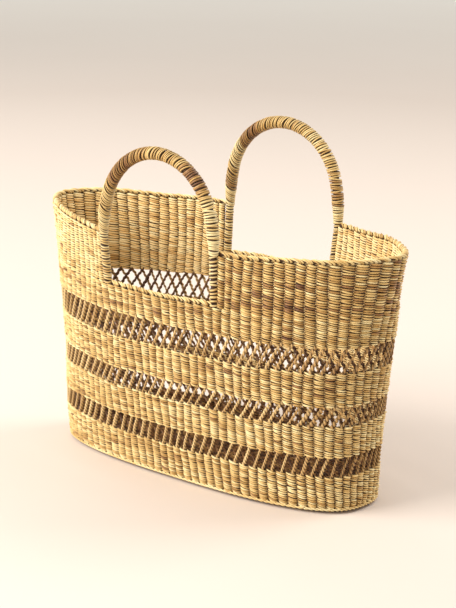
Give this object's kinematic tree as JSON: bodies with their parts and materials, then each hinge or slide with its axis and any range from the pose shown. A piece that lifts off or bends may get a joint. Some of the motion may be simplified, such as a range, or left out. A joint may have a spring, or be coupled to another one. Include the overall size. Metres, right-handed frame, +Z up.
{
  "type": "woven basket",
  "caption": "Oval open-top market basket of twined grass with open lattice bands, a notch in each long side and a wrapped arch handle over each notch.",
  "frame": {"origin": "middle of the underside of the base", "axes": "+X along the basket's length, +Y across it towards the back handle, +Z up through the open top"},
  "size_m": [0.43, 0.201, 0.3417],
  "materials": {
    "wall_weave": "twined dry grass, matte with a faint sheen",
    "base_weave": "twined dry grass, matte",
    "bare_cords": "two-ply twisted grass cord",
    "plaited_border": "plaited grass border",
    "core_bundle": "bundle of stiff grass stems",
    "handle_wrap": "tightly wound grass, slightly glossy",
    "pale_binding": "wound grass binding"
  },
  "bodies": {
    "basket": {"base_panel": "base_weave", "heel_band": "wall_weave", "second_band": "wall_weave", "third_band": "wall_weave", "upper_band": "wall_weave", "lower_outer_cords": "bare_cords", "lower_inner_cords": "bare_cords", "middle_outer_cords": "bare_cords", "middle_inner_cords": "bare_cords", "upper_outer_cords": "bare_cords", "upper_inner_cords": "bare_cords", "left_end_panel": "wall_weave", "left_rim_border": "plaited_border", "right_end_panel": "wall_weave", "right_rim_border": "plaited_border", "front_notch_sill": "plaited_border", "front_left_notch_edge": "wall_weave", "front_right_notch_edge": "wall_weave", "back_notch_sill": "plaited_border", "back_left_notch_edge": "wall_weave", "back_right_notch_edge": "wall_weave"},
    "front_handle": {"front_handle_core": "core_bundle", "front_handle_wrap": "handle_wrap", "front_left_root_knot": "pale_binding", "front_right_root_knot": "pale_binding"},
    "back_handle": {"back_handle_core": "core_bundle", "back_handle_wrap": "handle_wrap", "back_left_root_knot": "pale_binding", "back_right_root_knot": "pale_binding"}
  },
  "joints": [
    {"name": "front_handle_lean", "type": "hinge", "parent": "basket", "child": "front_handle", "pos_m": [0, -0.09383, 0.24482], "axis": [-1, 0, 0], "range_deg": [-8, 22], "stiffness_Nm_per_rad": 2},
    {"name": "back_handle_lean", "type": "hinge", "parent": "basket", "child": "back_handle", "pos_m": [0, 0.09383, 0.24482], "axis": [1, 0, 0], "range_deg": [-8, 22], "stiffness_Nm_per_rad": 2}
  ]
}
